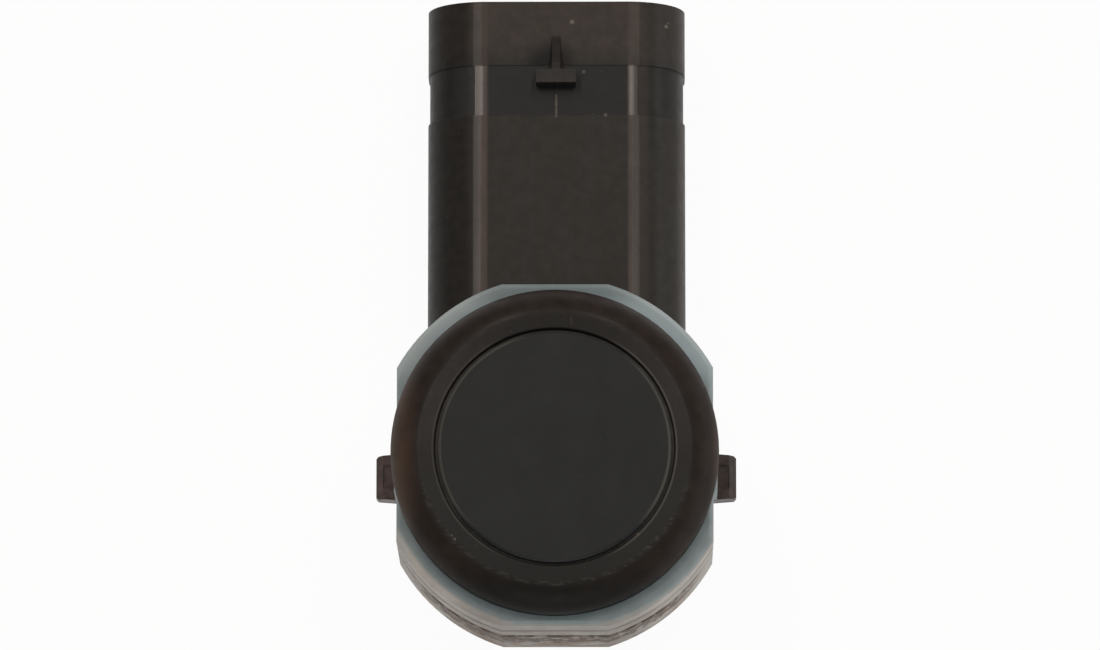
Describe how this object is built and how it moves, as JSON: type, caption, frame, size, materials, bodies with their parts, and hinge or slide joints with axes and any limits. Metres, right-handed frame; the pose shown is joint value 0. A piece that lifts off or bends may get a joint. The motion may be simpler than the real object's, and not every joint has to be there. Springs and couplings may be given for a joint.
{
  "type": "parking sensor",
  "caption": "Right-angle ultrasonic parking sensor: round membrane head with bezel and grey silicone collar, side lugs, and a rectangular plug connector with lock nose.",
  "frame": {"origin": "on the head axis, in the plane where the back of the bezel meets the front of the collar", "axes": "+Z along the sensing axis, out of the membrane face; +Y along the body, out of the connector mouth; +X to the right seen from the front with the connector up"},
  "size_m": [0.0246, 0.0451, 0.0239],
  "materials": {
    "housing_plastic": "fine-grained black moulded plastic, slightly worn",
    "bezel_plastic": "black plastic with a soft sheen and light scuffs",
    "collar_silicone": "matt blue-grey silicone with dusty edges",
    "membrane_metal": "aluminium with a dark satin coat on its face",
    "ring_silicone": "soft black silicone",
    "piezo_ceramic": "silvered ceramic disc",
    "foam": "pale silicone foam",
    "lead_red": "red insulation",
    "lead_black": "black insulation",
    "board_laminate": "green solder mask",
    "chip_mould": "matt black mould compound",
    "ferrite": "dark grey ferrite",
    "copper_wire": "enamelled copper wire",
    "capacitor_mould": "ochre mould compound",
    "diode_mould": "matt black mould compound",
    "capacitor_ceramic": "tan ceramic",
    "resistor_ceramic": "black glazed ceramic",
    "terminal_brass": "tinned brass",
    "solder": "bright solder",
    "potting_resin": "smooth black casting resin"
  },
  "bodies": {
    "root": {"main_housing": "housing_plastic", "front_bezel": "bezel_plastic", "decoupling_collar": "collar_silicone", "membrane_cup": "membrane_metal", "decoupling_ring": "ring_silicone", "piezo_disc": "piezo_ceramic", "damping_foam": "foam", "signal_lead": "lead_red", "ground_lead": "lead_black", "circuit_board": "board_laminate", "driver_chip": "chip_mould", "transformer_core": "ferrite", "transformer_winding": "copper_wire", "buffer_capacitor": "capacitor_mould", "protection_diode": "diode_mould", "chip_capacitors": "capacitor_ceramic", "chip_resistors": "resistor_ceramic", "supply_terminal": "terminal_brass", "signal_terminal": "terminal_brass", "ground_terminal": "terminal_brass", "solder_joints": "solder", "potting_compound": "potting_resin"}
  },
  "joints": []
}
